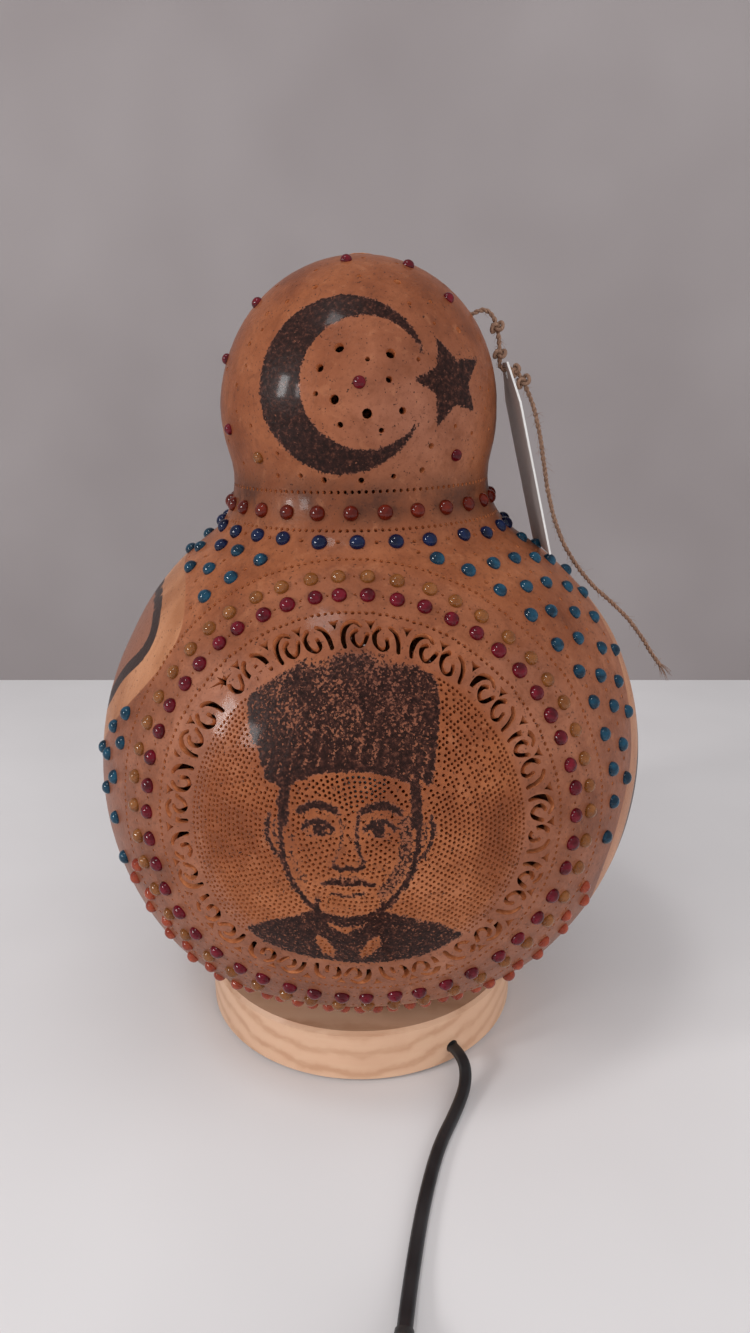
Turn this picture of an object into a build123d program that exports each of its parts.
from build123d import *
import math
import os

os.makedirs("parts", exist_ok=True)

# Gourd table lamp. Millimetres, +Z up, origin at the centre of the foot on the table.
# The carved side faces -Y.

# Overall sizes
base_d = 150.0
base_h = 26.0
shade_h = 318.4
belly_d = 245.0
shade_wall = 3.2
overrun = 1.0
fit_gap = 0.3
thread_gap = 0.05

# Turned base
felt_h = 1.0
felt_inset = 4.0
base_top_bevel = 1.6
base_foot_bevel = 1.0
spigot_gap = 4.7425
spigot_h = 6.0
recess_d = 64.0
recess_ceiling = 18.0
cord_exit_turn = 33.55
cord_exit_h = 9.1

# Mains cord, its clamp and the two wires inside
cord_d = 5.2
cord_bore_gap = 0.35
cord_straight = 8.5
cord_sides = 8
thin_sides = 6
clamp_radius = 24.0
clamp_w = 24.0
clamp_l = 8.0
clamp_bottom = 4.0
clamp_screw_d = 3.0
clamp_screw_pitch = 15.0
clamp_screw_bite = 5.0
clamp_head_d = 5.4
clamp_head_h = 1.8
wire_d = 2.0
wire_pitch = 2.5

# Nipple, nut and lampholder
nipple_d = 10.0
nipple_bore = 7.0
nipple_rise = 5.0
nut_flats = 14.0
nut_h = 3.0
washer_d = 20.0
washer_h = 1.0
holder_d = 28.0
holder_wall = 1.8
holder_cap_h = 16.0
holder_floor = 3.0
holder_sleeve_h = 32.0
holder_lip_bore = 19.0
holder_lip_h = 2.0
insert_h = 10.0
insert_foot_bore = 9.0
liner_bore = 14.4
liner_wall = 0.5
liner_h = 20.0
tongue_d = 5.0
tongue_h = 2.0
terminal_d = 3.0
terminal_head_d = 4.6
terminal_head_h = 2.0
terminal_pitch = 15.0
terminal_depth = 5.0

# Bulb: an LED stick in a frosted tube on a small screw cap
bulb_cap_d = 13.9
bulb_cap_wall = 0.5
bulb_cap_h = 17.5
bulb_contact_d = 4.4
bulb_contact_h = 1.2
bulb_insulator_d = 9.5
bulb_insulator_h = 2.6
bulb_collar_foot_d = 14.6
bulb_cover_d = 26.0
bulb_cover_wall = 1.0
bulb_collar_h = 15.0
bulb_cover_h = 52.0
bulb_cover_bevel = 5.0
board_w = 11.0
board_h = 44.0
chip_w = 2.8
chip_t = 0.7
chip_pitch = 8.6
chip_rows = 5

# Gourd outline: a ball for the belly and one for the crown, joined by tangent arcs.
# Turns are degrees above the level of each ball's centre; shares are of the belly
# radius and of the height above the mouth.
belly_h_share = 0.326
lower_turn = -34.7
shoulder_turn = 56.0
neck_share = (0.456, 0.754)
crown_ball_d = 114.8
crown_turn = 21.6
crown_r = 5.5
mouth_share = 0.473
inner_shares = [
    0.03, 0.12, 0.21, 0.30, 0.39, 0.48, 0.57, 0.63, 0.66, 0.69, 0.73, 0.80, 0.87, 0.93, 0.98,
]
skin_steps = 400
stem_plug_gap = 0.1
stem_plug_bevel = 1.0

# Medallion on the belly: cone angles from the medallion's own axis
medallion_h = 104.0
medallion_tilt = 9.3
crimson_angle = 39.9
amber_angle = 44.0
ring_count = 48
bead_arc_angles = [51.3, 56.6, 62.6, 69.6]
bead_arc_step = 8.6
bead_arc_low_turn = -2.0
bead_arc_high_turn = 182.0
orange_arc_angles = [50.5, 55.2]
orange_arc_step = 8.0
orange_first_turn = -160.0
orange_last_turn = -20.0
panel_turn = 58.0
panel_top_h = 192.0
navy_h = 196.0
bead_arc_top_h = 211.0

# Glass beads
bead_d = 5.0
bead_h = 2.3
bead_lean = 30.0
bead_sides = 6
bead_glue = 0.16
neck_bead_h = 221.5
neck_bead_count = 24

# Twine and tag
twine_d = 2.0
twine_hole_d = 3.2
twine_hole_h = 295.5
twine_hole_turn = 7.0
knot_d = 5.0
knot_w = 2.6
tag_pivot = (61.5, -5.0, 300.0)
tag_lean = 14.1
tag_w = 42.0
tag_l = 79.0
tag_top_w = 13.0
tag_clip_l = 16.0
tag_t = 0.8
tag_hole_d = 5.0
tag_hole_in = 4.2

# In-line switch
switch_l = 62.0
switch_w = 24.0
switch_h = 14.0
switch_corner_r = 9.0
switch_edge_bevel = 1.6
switch_wall = 2.5
rocker_l = 17.0
rocker_w = 8.4
rocker_gap = 0.6
rocker_swing_gap = 1.4
rocker_rest = 9.0
rocker_pivot_h = 11.6
rocker_crest = 3.4
rocker_waist = 1.3
rocker_keel = 3.2
rocker_pin_d = 2.0
contact_l = 6.0
contact_w = 5.0
contact_t = 0.8
contact_pitch = 13.0
switch_screw_d = 2.6
switch_screw_head_d = 4.8
switch_screw_head_h = 1.6
switch_screw_pitch = 44.0

# Plug
plug_l = 36.0
plug_w = 35.0
plug_t = 13.7
plug_cord_w = 13.0
plug_shoulder_l = 14.0
plug_edge_r = 2.5
pin_d = 4.0
pin_l = 19.0
pin_root = 8.0
pin_pitch = 18.6
pin_gap = 0.05

# Coil of the put-away length: half turns that spiral in, climb and spiral out
coil_inner_r = 20.0
coil_first_step = 4.0
coil_half_step = 2.85
coil_half_turns = 15
coil_layer = 5.7
tie_w = 9.0
tie_t = 1.0
tie_gap = 0.2

# Routes, chosen by hand
cord_route = [
    (46.6, -79.0, 3.6), (41.0, -93.0, 2.9), (32.0, -112.0, 2.9),
    (24.6, -139.0, 2.9), (19.4, -166.0, 2.9), (16.3, -188.0, 3.3), (15.0, -199.5, 7.0),
    (14.3, -208.0, 7.0),
]
lead_route = [
    (8.7, -290.0, 5.4), (13.3, -303.0, 3.9), (21.3, -315.0, 3.8), (29.4, -327.0, 3.8),
]
coil_centre = (-6.0, -352.0)
tail_route = [(-46.2, -326.0, 8.3), (-45.0, -312.0, 6.85), (-44.4, -300.0, 6.85)]
twine_route = [
    (54.5, -6.0, 322.2), (57.4, -5.6, 314.6), (58.3, -5.2, 307.0), (58.4, -5.0, 299.4),
    (64.6, -5.0, 300.9), (69.2, -5.0, 294.5), (73.4, -5.0, 285.5), (76.6, -5.0, 274.5), (79.0, -5.0, 262.0), (81.6, -4.9, 249.0),
    (85.4, -4.8, 236.5), (90.2, -4.5, 226.0), (96.4, -4.0, 217.0), (103.4, -3.5, 208.8),
    (110.6, -3.0, 202.6), (117.9, -2.5, 196.3), (124.6, -2.0, 189.2), (130.0, -1.6, 181.9),
    (134.6, -1.2, 175.0), (139.0, -0.8, 169.6),
]

# Heights and radii that follow
belly_r = belly_d / 2
base_r = base_d / 2
mouth_r = belly_r * mouth_share
spigot_r = mouth_r - shade_wall - spigot_gap
shade_top = base_h + shade_h
spigot_top = base_h + spigot_h
cord_r = cord_d / 2
tag_pivot_v = Vector(*tag_pivot)


def save(built, name):
    """Label a finished piece and write it."""
    built.part.label = name
    export_step(built.part, f"parts/{name}.step")


def ring(name, outer_r, inner_r, low, high):
    """A plain turned sleeve from one height to another."""
    with BuildPart() as sleeve:
        with BuildSketch(Plane.XY.offset(low)):
            Circle(outer_r)
            Circle(inner_r, mode=Mode.SUBTRACT)
        extrude(amount=high - low)
    save(sleeve, name)
    return sleeve


def route_radii(points):
    """Arc radii of a free cord: as large as its two runs at each corner allow."""
    found = []
    for before, corner, after in zip(points, points[1:], points[2:]):
        run_in = Vector(*corner) - Vector(*before)
        run_out = Vector(*after) - Vector(*corner)
        turn = math.radians(run_in.get_angle(run_out))
        found.append(0.45 * min(run_in.length, run_out.length) / math.tan(turn / 2))
    return found


def across(origin, way):
    """The plane square to a cord at one of its ends."""
    return Plane(origin=origin, x_dir=Vector(way.Y, -way.X, 0), z_dir=way)


def tube(name, points, diameter, sides):
    """A free length of cord along straight runs joined by tangent arcs."""
    radii = route_radii(points)
    with BuildPart() as cord:
        with BuildLine() as path:
            FilletPolyline(*points, radius=radii)
        with BuildSketch(across(path.line @ 0, path.line % 0)) as cut:
            RegularPolygon(diameter / 2, sides, major_radius=False, rotation=180 / sides)
        sweep()
    length = path.wire().length
    section = cut.sketch.area
    print(name, "length", round(length, 1), "radii", [round(r, 1) for r in radii])
    print(name, "volume over section times length", round(cord.part.volume / section / length, 4))
    save(cord, name)
    return cord


# Felt under the base
with BuildPart() as foot_felt:
    with BuildSketch():
        Circle(base_r - felt_inset)
    extrude(amount=felt_h)
save(foot_felt, "foot_felt")

# Turned pine base with its spigot, wiring recess, nipple bore and cord bore
exit_turn = math.radians(cord_exit_turn)
exit_out = Vector(math.sin(exit_turn), -math.cos(exit_turn), 0)
exit_side = Vector(math.cos(exit_turn), math.sin(exit_turn), 0)
cord_exit = exit_out * base_r + Vector(0, 0, cord_exit_h)
clamp_seat = exit_out * clamp_radius
clamp_plane = Plane(origin=clamp_seat, x_dir=exit_side, z_dir=(0, 0, 1))
cord_bore_plane = Plane(origin=cord_exit + exit_out * overrun, z_dir=exit_out)
screw_spots = [(-clamp_screw_pitch / 2, 0), (clamp_screw_pitch / 2, 0)]
with BuildPart() as base_disc:
    with BuildSketch(Plane.XY.offset(felt_h)):
        Circle(base_r)
    extrude(amount=base_h - felt_h)
    chamfer(base_disc.edges().sort_by(Axis.Z)[-1], base_top_bevel)
    chamfer(base_disc.edges().sort_by(Axis.Z)[0], base_foot_bevel)
    with BuildSketch(Plane.XY.offset(base_h)):
        Circle(spigot_r)
    extrude(amount=spigot_h)
    with BuildSketch(Plane.XY.offset(felt_h)):
        Circle(recess_d / 2)
    extrude(amount=recess_ceiling - felt_h, mode=Mode.SUBTRACT)
    with BuildSketch(Plane.XY.offset(recess_ceiling)):
        Circle(nipple_d / 2 + fit_gap)
    extrude(amount=spigot_top - recess_ceiling, mode=Mode.SUBTRACT)
    with BuildSketch(cord_bore_plane):
        Circle(cord_r + cord_bore_gap)
    extrude(amount=-(base_r - recess_d / 2 + 2 * overrun), mode=Mode.SUBTRACT)
    with BuildSketch(clamp_plane.offset(recess_ceiling)):
        with Locations(*screw_spots):
            Circle(clamp_screw_d / 2 + thread_gap)
    extrude(amount=clamp_screw_bite, mode=Mode.SUBTRACT)
save(base_disc, "base_disc")

# Cord clamp in the recess, with its two screws
with BuildPart() as cord_clamp:
    with BuildSketch(clamp_plane.offset(clamp_bottom)):
        Rectangle(clamp_w, clamp_l)
    extrude(amount=recess_ceiling - clamp_bottom)
    with BuildSketch(Plane(origin=clamp_seat + Vector(0, 0, cord_exit_h), z_dir=exit_out)):
        Circle(cord_r + thread_gap)
    extrude(amount=clamp_l, both=True, mode=Mode.SUBTRACT)
    with BuildSketch(clamp_plane.offset(clamp_bottom)):
        with Locations(*screw_spots):
            Circle(clamp_screw_d / 2 + thread_gap)
    extrude(amount=recess_ceiling - clamp_bottom, mode=Mode.SUBTRACT)
save(cord_clamp, "cord_clamp")

with BuildPart() as clamp_screws:
    with BuildSketch(clamp_plane.offset(clamp_bottom)):
        with Locations(*screw_spots):
            Circle(clamp_screw_d / 2)
    extrude(amount=recess_ceiling - clamp_bottom + clamp_screw_bite - thread_gap)
    with BuildSketch(clamp_plane.offset(clamp_bottom)):
        with Locations(*screw_spots):
            Circle(clamp_head_d / 2)
    extrude(amount=-clamp_head_h)
save(clamp_screws, "clamp_screws")

# Cord inside the base, from the clamp to the side wall
cord_inner_start = exit_out * (clamp_radius - clamp_l) + Vector(0, 0, cord_exit_h)
with BuildPart() as cord_inner:
    with BuildSketch(Plane(origin=cord_inner_start, z_dir=exit_out)):
        Circle(cord_r)
    extrude(amount=base_r - clamp_radius + clamp_l)
save(cord_inner, "cord_inner")

# Threaded nipple that holds the lampholder down, its washer and nut
washer_bottom = recess_ceiling - washer_h
nut_bottom = washer_bottom - nut_h
holder_floor_top = spigot_top + holder_floor
nipple_top = holder_floor_top + nipple_rise
ring("nipple", nipple_d / 2, nipple_bore / 2, nut_bottom - overrun / 2, nipple_top)
ring("nipple_washer", washer_d / 2, nipple_d / 2 + fit_gap, washer_bottom, recess_ceiling)
with BuildPart() as nipple_nut:
    with BuildSketch(Plane.XY.offset(nut_bottom)):
        RegularPolygon(nut_flats / 2, 6, major_radius=False)
        Circle(nipple_d / 2 + thread_gap, mode=Mode.SUBTRACT)
    extrude(amount=nut_h)
save(nipple_nut, "nipple_nut")

# Lampholder: cup, sleeve, insulating insert, threaded liner, contact tongue, terminals
holder_r = holder_d / 2
holder_split = spigot_top + holder_cap_h
holder_top = holder_split + holder_sleeve_h
insert_low = holder_split - insert_h / 2
insert_top = insert_low + insert_h
with BuildPart() as holder_cap:
    with BuildSketch(Plane.XY.offset(spigot_top)):
        Circle(holder_r)
    extrude(amount=holder_cap_h)
    chamfer(holder_cap.edges().sort_by(Axis.Z)[0], holder_wall)
    with BuildSketch(Plane.XY.offset(holder_floor_top)):
        Circle(holder_r - holder_wall)
    extrude(amount=holder_cap_h, mode=Mode.SUBTRACT)
    with BuildSketch(Plane.XY.offset(spigot_top)):
        Circle(nipple_d / 2 + thread_gap)
    extrude(amount=holder_floor, mode=Mode.SUBTRACT)
save(holder_cap, "holder_cap")

with BuildPart() as holder_sleeve:
    with BuildSketch(Plane.XY.offset(holder_split)):
        Circle(holder_r)
    extrude(amount=holder_sleeve_h)
    chamfer(holder_sleeve.edges().sort_by(Axis.Z)[-1], holder_wall / 2)
    with BuildSketch(Plane.XY.offset(holder_split)):
        Circle(holder_r - holder_wall)
    extrude(amount=holder_sleeve_h - holder_lip_h, mode=Mode.SUBTRACT)
    with BuildSketch(Plane.XY.offset(holder_split)):
        Circle(holder_lip_bore / 2)
    extrude(amount=holder_sleeve_h, mode=Mode.SUBTRACT)
save(holder_sleeve, "holder_sleeve")

terminal_spots = [(-terminal_pitch / 2, 0), (terminal_pitch / 2, 0)]
with BuildPart() as holder_insert:
    with BuildSketch(Plane.XY.offset(insert_low)):
        Circle(holder_r - holder_wall - fit_gap)
        with Locations(*terminal_spots):
            Circle(terminal_d / 2 + thread_gap, mode=Mode.SUBTRACT)
    extrude(amount=insert_h)
    with BuildSketch(Plane.XY.offset(insert_low)):
        Circle(insert_foot_bore / 2)
    extrude(amount=insert_h / 2, mode=Mode.SUBTRACT)
save(holder_insert, "holder_insert")

with BuildPart() as terminal_screws:
    with BuildSketch(Plane.XY.offset(insert_low - terminal_head_h)):
        with Locations(*terminal_spots):
            Circle(terminal_head_d / 2)
    extrude(amount=terminal_head_h)
    with BuildSketch(Plane.XY.offset(insert_low)):
        with Locations(*terminal_spots):
            Circle(terminal_d / 2)
    extrude(amount=terminal_depth)
save(terminal_screws, "terminal_screws")

liner_r = liner_bore / 2 + liner_wall
ring("holder_liner", liner_r, liner_bore / 2, insert_top, insert_top + liner_h)
with BuildPart() as holder_tongue:
    with BuildSketch(Plane.XY.offset(insert_top)):
        Circle(tongue_d / 2)
    extrude(amount=tongue_h)
    chamfer(holder_tongue.edges().sort_by(Axis.Z)[-1], tongue_h / 2)
save(holder_tongue, "holder_tongue")

# Two wires from the clamped cord up through the nipple to the terminal screws
wire_start = exit_out * (clamp_radius - clamp_l) + Vector(0, 0, cord_exit_h)
wire_in_nipple = nut_bottom
wire_out_nipple = nipple_top + wire_d
terminal_low = insert_low - terminal_head_h
wire_end_reach = terminal_pitch / 2 - terminal_head_d / 2 - wire_d / 2
with BuildPart() as lead_wires:
    for side in (-1, 1):
        side_off = exit_side * (side * wire_pitch / 2)
        rise_x = side * wire_pitch / 2
        wire_points = [
            tuple(wire_start + side_off),
            tuple(exit_out * (wire_d * 2) + side_off + Vector(0, 0, cord_exit_h)),
            (rise_x, 0, wire_in_nipple),
            (rise_x, 0, wire_out_nipple),
            (side * wire_end_reach, 0, terminal_low),
            (side * wire_end_reach, 0, insert_low),
        ]
        with BuildLine() as wire_line:
            FilletPolyline(*wire_points, radius=route_radii(wire_points))
        with BuildSketch(across(wire_line.line @ 0, wire_line.line % 0)):
            RegularPolygon(wire_d / 2, thin_sides)
        sweep(path=wire_line.wire())
save(lead_wires, "lead_wires")

# Bulb: centre contact, black insulator, screw cap, collar, frosted cover, board, chips
bulb_foot = insert_top + tongue_h + fit_gap
insulator_low = bulb_foot + bulb_contact_h
cap_low = insulator_low + bulb_insulator_h
cap_top = cap_low + bulb_cap_h
collar_top = cap_top + bulb_collar_h
cap_r = bulb_cap_d / 2
cover_r = bulb_cover_d / 2
with BuildPart() as bulb_contact:
    with BuildSketch(Plane.XY.offset(bulb_foot)):
        Circle(bulb_contact_d / 2)
    extrude(amount=bulb_contact_h)
    chamfer(bulb_contact.edges().sort_by(Axis.Z)[0], bulb_contact_h / 2)
save(bulb_contact, "bulb_contact")

with BuildPart() as bulb_insulator:
    with BuildSketch(Plane.XY.offset(insulator_low)):
        Circle(bulb_contact_d / 2)
    with BuildSketch(Plane.XY.offset(cap_low)):
        Circle(bulb_insulator_d / 2)
    loft()
save(bulb_insulator, "bulb_insulator")

with BuildPart() as bulb_cap:
    with BuildSketch(Plane.XY.offset(cap_low)):
        Circle(cap_r)
    extrude(amount=bulb_cap_h)
    chamfer(bulb_cap.edges().sort_by(Axis.Z)[0], cap_r - bulb_insulator_d / 2)
    with BuildSketch(Plane.XY.offset(cap_low + bulb_insulator_h)):
        Circle(cap_r - bulb_cap_wall)
    extrude(amount=bulb_cap_h, mode=Mode.SUBTRACT)
save(bulb_cap, "bulb_cap")

with BuildPart() as bulb_collar:
    with BuildSketch(Plane.XY.offset(cap_top)):
        Circle(bulb_collar_foot_d / 2)
    with BuildSketch(Plane.XY.offset(collar_top)):
        Circle(cover_r)
    loft()
save(bulb_collar, "bulb_collar")

with BuildPart() as bulb_cover:
    with BuildSketch(Plane.XY.offset(collar_top)):
        Circle(cover_r)
    extrude(amount=bulb_cover_h)
    chamfer(bulb_cover.edges().sort_by(Axis.Z)[-1], bulb_cover_bevel)
    with BuildSketch(Plane.XY.offset(collar_top)):
        Circle(cover_r - bulb_cover_wall)
    extrude(amount=bulb_cover_h - bulb_cover_bevel, mode=Mode.SUBTRACT)
save(bulb_cover, "bulb_cover")

with BuildPart() as bulb_board:
    with BuildSketch(Plane.XY.offset(collar_top)):
        Rectangle(board_w, board_w)
    extrude(amount=board_h)
save(bulb_board, "bulb_board")

chip_middle = collar_top + board_h / 2
with BuildPart() as bulb_chips:
    for turn in (0, 90, 180, 270):
        side_plane = Plane.XY.offset(chip_middle).rotated((0, 0, turn))
        side_way = side_plane.x_dir
        chip_plane = Plane(
            origin=side_plane.origin + side_way * (board_w / 2),
            x_dir=(0, 0, 1),
            z_dir=side_way,
        )
        with BuildSketch(chip_plane):
            with GridLocations(chip_pitch, chip_pitch, chip_rows, 1):
                Rectangle(chip_w, chip_w)
        extrude(amount=chip_t)
save(bulb_chips, "bulb_chips")

# Outer line of the gourd, from the mouth up
belly_centre = (0, base_h + shade_h * belly_h_share)
crown_ball_r = crown_ball_d / 2
crown_centre = (0, shade_top - crown_ball_r)
crown_end = 90 - math.degrees(math.asin(crown_r / crown_ball_r))
crown_rim = crown_centre[1] + math.sqrt(crown_ball_r**2 - crown_r**2)
mouth = (mouth_r, base_h)
neck_point = (belly_r * neck_share[0], base_h + shade_h * neck_share[1])


def draw_skin():
    """Draw the gourd's outer line; the straight length at the mouth comes back."""
    belly = CenterArc(belly_centre, belly_r, lower_turn, shoulder_turn - lower_turn)
    crown = CenterArc(crown_centre, crown_ball_r, crown_turn, crown_end - crown_turn)
    neck = TangentArc(belly @ 1, neck_point, tangent=belly % 1)
    TangentArc(neck @ 1, crown @ 0, tangent=neck % 1)
    return Line(belly @ 0, mouth)


with BuildLine(Plane.XZ) as skin_line:
    foot = draw_skin()
skin_wire = skin_line.wire()
skin_up = (skin_wire @ 0).Z < (skin_wire @ 1).Z
skin_samples = [skin_wire @ (i / skin_steps) for i in range(skin_steps + 1)]
if not skin_up:
    skin_samples.reverse()


def inner_point(share):
    """A point of the gourd's inner line, one wall in from the outer line."""
    place = share if skin_up else 1 - share
    here = skin_wire @ place
    way = skin_wire % place
    if not skin_up:
        way = way * -1
    return (here.X - way.Z * shade_wall, here.Z + way.X * shade_wall)


def skin_radius(height):
    """Outer radius of the gourd at a height."""
    for low, high in zip(skin_samples, skin_samples[1:]):
        if low.Z <= height <= high.Z:
            return low.X + (high.X - low.X) * (height - low.Z) / (high.Z - low.Z)
    return 0.0


def skin_plane(origin, way):
    """The plane that touches the skin where a line from inside leaves it."""
    near, far = 0.0, belly_d
    while far - near > bead_glue / 100:
        middle = (near + far) / 2
        spot = origin + way * middle
        if math.hypot(spot.X, spot.Y) < skin_radius(spot.Z):
            near = middle
        else:
            far = middle
    spot = origin + way * near
    reach = math.hypot(spot.X, spot.Y)
    slope = (skin_radius(spot.Z + overrun) - skin_radius(spot.Z - overrun)) / (2 * overrun)
    return Plane(origin=spot, z_dir=Vector(spot.X / reach, spot.Y / reach, -slope))


def medallion_way(angle, turn):
    """Direction from the medallion's centre: angle from its axis, turn round it from +X."""
    tilt = math.radians(medallion_tilt)
    axis = Vector(0, -math.cos(tilt), math.sin(tilt))
    up = Vector(0, math.sin(tilt), math.cos(tilt))
    cone = math.radians(angle)
    round_it = math.radians(turn)
    across = Vector(math.cos(round_it), 0, 0) + up * math.sin(round_it)
    return axis * math.cos(cone) + across * math.sin(cone)


def medallion_plane(angle, turn):
    """The skin plane at a cone angle and a turn of the medallion."""
    return skin_plane(Vector(0, 0, base_h + medallion_h), medallion_way(angle, turn))


# Gourd shell: a hollow turned form, flat at its mouth, with a hole for the twine
inner_points = [inner_point(share) for share in inner_shares]
mouth_rise = (foot @ 0) - (foot @ 1)
mouth_in = inner_points[0][0] - (inner_points[0][1] - base_h) * mouth_rise.X / mouth_rise.Z
twine_turn = math.radians(twine_hole_turn)
twine_seat = skin_plane(
    Vector(0, 0, base_h + twine_hole_h), Vector(math.cos(twine_turn), -math.sin(twine_turn), 0)
)
with BuildPart() as gourd_shell:
    with BuildSketch(Plane.XZ):
        with BuildLine(Plane.XZ):
            draw_skin()
            Polyline(
                mouth, (mouth_in, base_h), *inner_points,
                (crown_r, crown_rim - shade_wall), (crown_r, crown_rim),
            )
        make_face()
    revolve(axis=Axis.Z)
    with BuildSketch(twine_seat.offset(shade_wall)):
        Circle(twine_hole_d / 2)
    extrude(amount=-3 * shade_wall, mode=Mode.SUBTRACT)
save(gourd_shell, "gourd_shell")

# Plug of the cut stem in the crown
with BuildPart() as stem_plug:
    with BuildSketch(Plane.XY.offset(crown_rim - shade_wall)):
        Circle(crown_r - stem_plug_gap)
    extrude(amount=shade_wall + stem_plug_bevel)
    chamfer(stem_plug.edges().sort_by(Axis.Z)[-1], stem_plug_bevel)
save(stem_plug, "stem_plug")

# One glass bead, flat where it is glued down
with BuildPart() as bead:
    with BuildSketch(Plane.XY.offset(bead_glue)):
        RegularPolygon(bead_d / 2, bead_sides)
    extrude(amount=bead_h, taper=bead_lean)


def bead_group(name, planes):
    """Beads of one colour, each on its own plane of the skin."""
    with BuildPart() as group:
        with Locations(*planes):
            add(bead.part)
    print(name, len(planes))
    save(group, name)


def turned_planes(angle, count):
    """Evenly spaced skin planes on one ring of the medallion."""
    return [medallion_plane(angle, 360 * (i + 0.5) / count) for i in range(count)]


def on_panel(spot):
    """Whether a point lies on one of the two side panels, which have no beads."""
    turn = math.degrees(math.atan2(abs(spot.X), -spot.Y))
    return turn > panel_turn and spot.Z < base_h + panel_top_h


bead_group("crimson_beads", turned_planes(crimson_angle, ring_count))
bead_group("amber_beads", turned_planes(amber_angle, ring_count))

neck_planes = []
for i in range(neck_bead_count):
    turn = 2 * math.pi * i / neck_bead_count
    neck_way = Vector(math.sin(turn), -math.cos(turn), 0)
    neck_planes.append(skin_plane(Vector(0, 0, base_h + neck_bead_h), neck_way))
bead_group("neck_beads", neck_planes)

shoulder_planes = []
for row, angle in enumerate(bead_arc_angles):
    turn = bead_arc_low_turn + bead_arc_step * (row % 2) / 2
    while turn <= bead_arc_high_turn:
        place = medallion_plane(angle, turn)
        if place.origin.Z < base_h + bead_arc_top_h and not on_panel(place.origin):
            shoulder_planes.append(place)
        turn += bead_arc_step
navy_line = base_h + navy_h
bead_group("navy_beads", [p for p in shoulder_planes if p.origin.Z >= navy_line])
bead_group("turquoise_beads", [p for p in shoulder_planes if p.origin.Z < navy_line])

orange_planes = []
for row, angle in enumerate(orange_arc_angles):
    turn = orange_first_turn + orange_arc_step * (row % 2) / 2
    while turn <= orange_last_turn:
        orange_planes.append(medallion_plane(angle, turn))
        turn += orange_arc_step
bead_group("orange_beads", orange_planes)

# Twine: out of its hole, through the tag's hole and down over the shoulder
twine_in = twine_seat.origin - twine_seat.z_dir * (2 * shade_wall + knot_w)
twine_out = twine_seat.origin + twine_seat.z_dir * (2 * twine_d)
tube("twine", [tuple(twine_in), tuple(twine_out)] + twine_route, twine_d, thin_sides)

# Knots: a stop knot inside the head and two on the twine outside
twine_corner_r = twine_d / 2 / math.cos(math.pi / thin_sides)
knot_way = Vector(*twine_route[2]) - Vector(*twine_route[1])
knot_spots = [
    (twine_in + twine_seat.z_dir * (knot_w / 2), twine_seat.z_dir),
    ((Vector(*twine_route[1]) + Vector(*twine_route[2])) * 0.5, knot_way),
]
with BuildPart() as twine_knots:
    for spot, way in knot_spots:
        with BuildSketch(Plane(origin=spot - way.normalized() * (knot_w / 2), z_dir=way)):
            Circle(knot_d / 2)
            Circle(twine_corner_r + thread_gap, mode=Mode.SUBTRACT)
        extrude(amount=knot_w)
save(twine_knots, "twine_knots")

# Tag: a card with two clipped corners, hung on the twine by its hole
lean = math.radians(tag_lean)
tag_down = Vector(math.sin(lean), 0, -math.cos(lean))
tag_out = Vector(math.cos(lean), 0, math.sin(lean))
tag_hang = tag_hole_d / 2 - twine_d / 2 - fit_gap
tag_plane = Plane(origin=tag_pivot_v + tag_down * tag_hang, x_dir=tag_down, z_dir=tag_out)
with BuildPart() as tag_card:
    with BuildSketch(tag_plane.offset(-tag_t / 2)):
        with BuildLine():
            Polyline(
                (-tag_hole_in, -tag_top_w / 2),
                (tag_clip_l - tag_hole_in, -tag_w / 2),
                (tag_l - tag_hole_in, -tag_w / 2),
                (tag_l - tag_hole_in, tag_w / 2),
                (tag_clip_l - tag_hole_in, tag_w / 2),
                (-tag_hole_in, tag_top_w / 2),
                close=True,
            )
        make_face()
        Circle(tag_hole_d / 2, mode=Mode.SUBTRACT)
    extrude(amount=tag_t)
save(tag_card, "tag_card")

# Mains cord on the table, from the base to the switch
power_first = cord_exit + exit_out * cord_straight
power_route = [tuple(cord_exit), tuple(power_first)] + cord_route
tube("power_cord", power_route, cord_d, cord_sides)

# In-line switch: two halves, rocker, contacts and screws
switch_in = Vector(*cord_route[-1])
switch_way = switch_in - Vector(*cord_route[-2])
switch_way = Vector(switch_way.X, switch_way.Y, 0).normalized()
switch_middle = switch_in + switch_way * (switch_l / 2)
switch_plane = Plane(
    origin=(switch_middle.X, switch_middle.Y, 0), x_dir=switch_way, z_dir=(0, 0, 1)
)
switch_split = switch_h / 2
pocket_l = rocker_l + 2 * rocker_swing_gap
pocket_w = rocker_w + 2 * rocker_gap
screw_row = [(-switch_screw_pitch / 2, 0), (switch_screw_pitch / 2, 0)]
with BuildPart() as switch_bottom:
    with BuildSketch(switch_plane):
        RectangleRounded(switch_l, switch_w, switch_corner_r)
    extrude(amount=switch_split)
    chamfer(switch_bottom.faces().sort_by(Axis.Z)[0].edges(), switch_edge_bevel)
    with BuildSketch(switch_plane.offset(switch_wall)):
        Rectangle(pocket_l, pocket_w)
        with Locations(*screw_row):
            Circle(switch_screw_d / 2 + thread_gap)
    extrude(amount=switch_split - switch_wall, mode=Mode.SUBTRACT)
save(switch_bottom, "switch_bottom")

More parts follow.
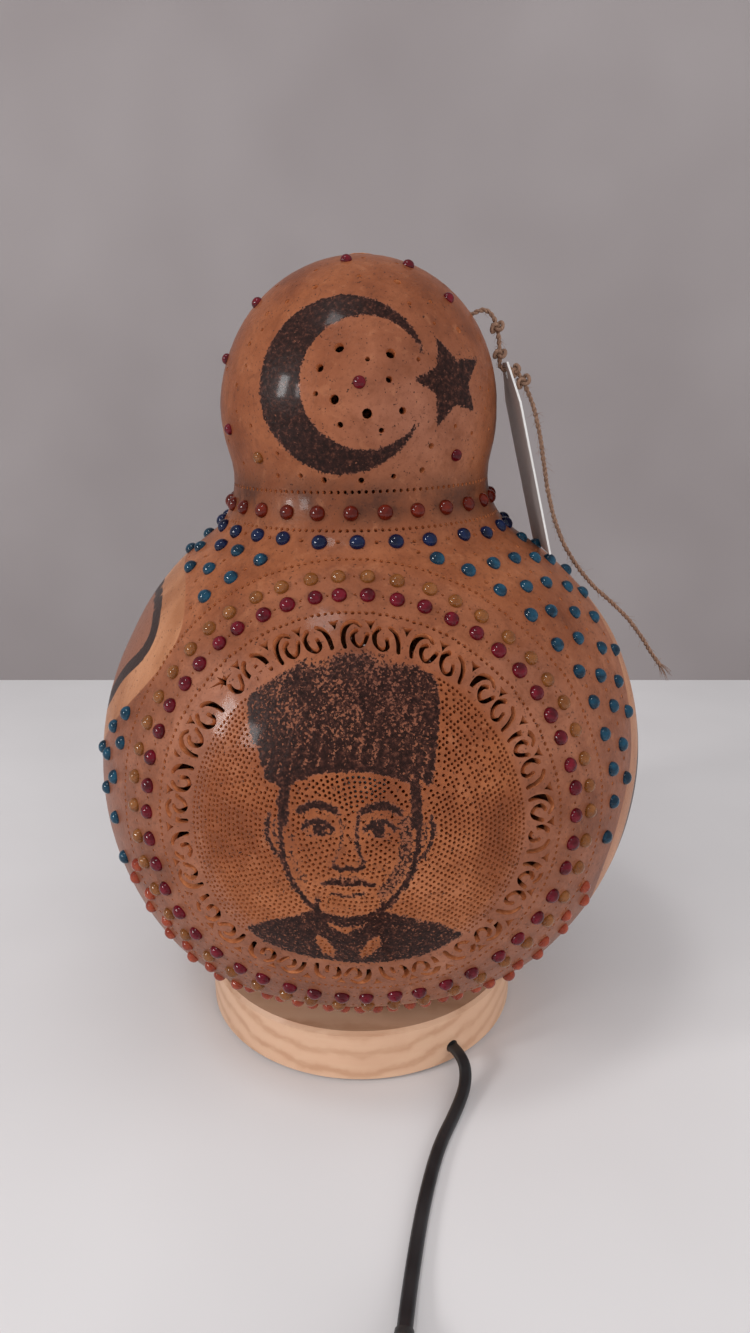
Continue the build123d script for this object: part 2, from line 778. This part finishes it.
pivot_plane = Plane(
    origin=switch_plane.origin + Vector(0, 0, rocker_pivot_h),
    x_dir=switch_way,
    z_dir=switch_way.cross(Vector(0, 0, 1)),
)
with BuildPart() as switch_top:
    with BuildSketch(switch_plane.offset(switch_split)):
        RectangleRounded(switch_l, switch_w, switch_corner_r)
    extrude(amount=switch_h - switch_split)
    chamfer(switch_top.faces().sort_by(Axis.Z)[-1].edges(), switch_edge_bevel)
    with BuildSketch(switch_plane.offset(switch_split)):
        Rectangle(pocket_l, pocket_w)
        with Locations(*screw_row):
            Circle(switch_screw_d / 2 + thread_gap)
    extrude(amount=switch_h - switch_split, mode=Mode.SUBTRACT)
    with BuildSketch(switch_plane.offset(switch_h)):
        with Locations(*screw_row):
            Circle(switch_screw_head_d / 2 + thread_gap)
    extrude(amount=-switch_screw_head_h, mode=Mode.SUBTRACT)
    with BuildSketch(pivot_plane):
        Circle(rocker_pin_d / 2 + thread_gap)
    extrude(amount=pocket_w / 2 + 2 * rocker_pin_d, both=True, mode=Mode.SUBTRACT)
save(switch_top, "switch_top")

rest = math.radians(rocker_rest)
rocker_plane = Plane(
    origin=pivot_plane.origin,
    x_dir=switch_way * math.cos(rest) + Vector(0, 0, math.sin(rest)),
    z_dir=pivot_plane.z_dir,
)
half_rocker = rocker_l / 2
with BuildPart() as switch_rocker:
    with BuildSketch(rocker_plane):
        with BuildLine():
            Polyline((-half_rocker, 0), (-half_rocker, rocker_crest))
            ThreePointArc(
                (-half_rocker, rocker_crest), (0, rocker_waist), (half_rocker, rocker_crest)
            )
            Polyline((half_rocker, rocker_crest), (half_rocker, 0))
            ThreePointArc((half_rocker, 0), (0, -rocker_keel), (-half_rocker, 0))
        make_face()
    extrude(amount=rocker_w / 2, both=True)
    with BuildSketch(rocker_plane):
        Circle(rocker_pin_d / 2)
    extrude(amount=pocket_w / 2 + rocker_pin_d, both=True)
save(switch_rocker, "switch_rocker")

with BuildPart() as switch_contacts:
    with BuildSketch(switch_plane.offset(switch_wall)):
        with Locations((-contact_pitch / 2, 0), (contact_pitch / 2, 0)):
            Rectangle(contact_l, contact_w)
    extrude(amount=contact_t)
save(switch_contacts, "switch_contacts")

with BuildPart() as switch_screws:
    with BuildSketch(switch_plane.offset(switch_wall)):
        with Locations(*screw_row):
            Circle(switch_screw_d / 2)
    extrude(amount=switch_h - switch_wall - switch_screw_head_h)
    with BuildSketch(switch_plane.offset(switch_h)):
        with Locations(*screw_row):
            Circle(switch_screw_head_d / 2)
    extrude(amount=-switch_screw_head_h)
save(switch_screws, "switch_screws")

# Coil ends: each half turn ends on a line through the coil's centre
climb = coil_half_turns // 2


def coil_end(step):
    """Where a half turn ends: its offset from the coil's centre, and its height."""
    from_climb = max(climb - step, step - climb - 1)
    offset = coil_inner_r
    if from_climb > 0:
        offset += coil_first_step + coil_half_step * (from_climb - 1)
    side = 1 if step % 2 == 0 else -1
    low = tie_t + tie_gap + cord_r
    height = low if step <= climb else low + coil_layer
    return Vector(coil_centre[0] + side * offset, coil_centre[1], height)


coil_ends = [coil_end(step) for step in range(coil_half_turns + 1)]
coil_samples = []
with BuildPart() as cord_coil:
    with BuildLine() as coil_path:
        for step, (here, there) in enumerate(zip(coil_ends, coil_ends[1:])):
            side = -1 if step % 2 == 0 else 1
            top_of_turn = (here + there) * 0.5 + Vector(0, side * (there - here).length / 2, 0)
            half_turn = ThreePointArc(here, top_of_turn, there)
            coil_samples += [half_turn @ (i / 40) for i in range(40)]
    with BuildSketch(across(coil_ends[0], Vector(0, -1, 0))):
        RegularPolygon(cord_r, cord_sides, major_radius=False, rotation=180 / cord_sides)
    sweep(path=coil_path.wire())
save(cord_coil, "cord_coil")
coil_length = coil_path.wire().length
one_turn = 60
least_gap = min(
    (a - b).length
    for i, a in enumerate(coil_samples)
    for b in coil_samples[i + one_turn :]
)
print("cord_coil length", round(coil_length, 1), "least gap", round(least_gap - cord_d, 2))

# Free lengths between the switch, the coil and the plug
switch_out = switch_in + switch_way * switch_l
lead_first = switch_out + switch_way * cord_straight
coil_in = coil_ends[0] + Vector(0, 1.4 * cord_straight, 0)
lead_points = [tuple(switch_out), tuple(lead_first)] + lead_route
tube("cord_lead", lead_points + [tuple(coil_in), tuple(coil_ends[0])], cord_d, cord_sides)
coil_out = coil_ends[-1] + Vector(0, 1.4 * cord_straight, 0)
tube("cord_tail", [tuple(coil_ends[-1]), tuple(coil_out)] + tail_route, cord_d, cord_sides)

# Tie round the coil, on the side away from the lamp
tie_turn_out = coil_inner_r + coil_first_step + coil_half_step * (climb - 1)
tie_inner_w = tie_turn_out - coil_inner_r + cord_d + 2 * tie_t
tie_inner_h = coil_layer + cord_d + 2 * tie_gap
tie_middle_y = coil_centre[1] - (tie_turn_out + coil_inner_r) / 2
tie_middle_h = tie_t + tie_inner_h / 2
tie_centre = (coil_centre[0], tie_middle_y, tie_middle_h)
with BuildPart() as cord_tie:
    with BuildSketch(Plane(origin=tie_centre, x_dir=(0, 1, 0), z_dir=(1, 0, 0))):
        RectangleRounded(tie_inner_w + 2 * tie_t, tie_inner_h + 2 * tie_t, 2 * tie_t)
        RectangleRounded(tie_inner_w, tie_inner_h, tie_t, mode=Mode.SUBTRACT)
    extrude(amount=tie_w / 2, both=True)
save(cord_tie, "cord_tie")

# Plug with two round pins, lying flat beside the switch
plug_in = Vector(*tail_route[-1])
plug_way = plug_in - Vector(*tail_route[-2])
plug_way = Vector(plug_way.X, plug_way.Y, 0).normalized()
plug_plane = Plane(origin=(plug_in.X, plug_in.Y, 0), x_dir=plug_way, z_dir=(0, 0, 1))
pin_plane = Plane(
    origin=plug_in + plug_way * (plug_l - pin_root), x_dir=(0, 0, 1), z_dir=plug_way
)
pin_spots = [(0, -pin_pitch / 2), (0, pin_pitch / 2)]
with BuildPart() as plug_body:
    with BuildSketch(plug_plane):
        with BuildLine():
            Polyline(
                (0, -plug_cord_w / 2),
                (plug_shoulder_l, -plug_w / 2),
                (plug_l, -plug_w / 2),
                (plug_l, plug_w / 2),
                (plug_shoulder_l, plug_w / 2),
                (0, plug_cord_w / 2),
                close=True,
            )
        make_face()
    extrude(amount=plug_t)
    fillet(plug_body.edges().filter_by(Axis.Z), plug_edge_r)
    chamfer(plug_body.faces().sort_by(Axis.Z)[-1].edges(), plug_edge_r / 2)
    with BuildSketch(pin_plane):
        with Locations(*pin_spots):
            Circle(pin_d / 2 + pin_gap)
    extrude(amount=pin_root, mode=Mode.SUBTRACT)
save(plug_body, "plug_body")

with BuildPart() as plug_pins:
    with BuildSketch(pin_plane):
        with Locations(*pin_spots):
            Circle(pin_d / 2)
    extrude(amount=pin_root + pin_l)
    chamfer(plug_pins.faces().sort_by(Axis.Y)[-2:].edges(), pin_d / 5)
save(plug_pins, "plug_pins")
